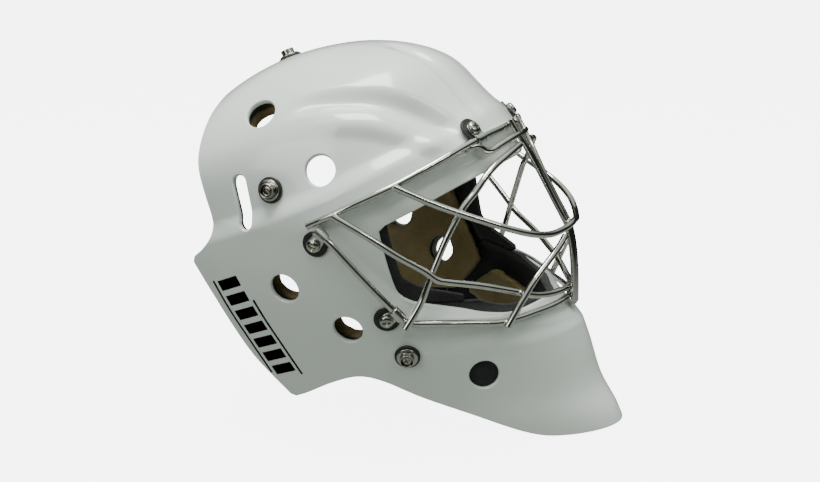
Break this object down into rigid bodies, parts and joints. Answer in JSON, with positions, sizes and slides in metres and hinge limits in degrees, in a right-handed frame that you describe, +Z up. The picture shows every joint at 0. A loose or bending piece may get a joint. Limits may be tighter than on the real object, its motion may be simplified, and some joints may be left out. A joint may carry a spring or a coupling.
{
  "type": "goalie mask",
  "caption": "Ice hockey goalie mask: white moulded shell with a wire cat-eye cage, foam lining, pads, clips and strap studs.",
  "frame": {"origin": "centre of the wearer's head, on the mid-plane of the mask", "axes": "-Y is the front of the mask, +X the wearer's left, +Z up"},
  "size_m": [0.2575, 0.2953, 0.272],
  "materials": {
    "shell": "gloss white paint over laminate",
    "foam": "matt closed-cell foam",
    "pad": "smooth tan leather-like skin",
    "wire": "polished stainless",
    "clip": "polished stainless strip",
    "stud": "polished",
    "screw": "polished",
    "washer": "matt black",
    "nut": "zinc plated"
  },
  "bodies": {
    "root": {"shell": "shell", "crown_foam": "foam", "side_foam_right": "foam", "side_foam_left": "foam", "chin_foam": "foam", "crown_pad": "pad", "forehead_pad": "pad", "side_pad_right": "pad", "side_pad_left": "pad", "cheek_pad_right": "pad", "cheek_pad_left": "pad", "chin_pad": "pad", "cage_top_rim": "wire", "cage_lower_rim": "wire", "cage_brow_wire": "wire", "cage_centre_wire_right": "wire", "cage_centre_wire_left": "wire", "cage_upper_wire": "wire", "cage_middle_wire": "wire", "cage_eye_wire_right": "wire", "cage_eye_wire_left": "wire", "cage_nose_wire_right": "wire", "cage_nose_wire_left": "wire", "brow_clip_right": "clip", "brow_clip_left": "clip", "temple_clip_right": "clip", "temple_clip_left": "clip", "jaw_clip_right": "clip", "jaw_clip_left": "clip", "clip_washers": "washer", "clip_screws": "screw", "clip_tee_nuts": "nut", "top_stud": "stud", "rear_stud_right": "stud", "rear_stud_left": "stud", "jaw_stud_right": "stud", "jaw_stud_left": "stud", "stud_washers": "washer", "stud_screws": "screw", "stud_tee_nuts": "nut"}
  },
  "joints": []
}
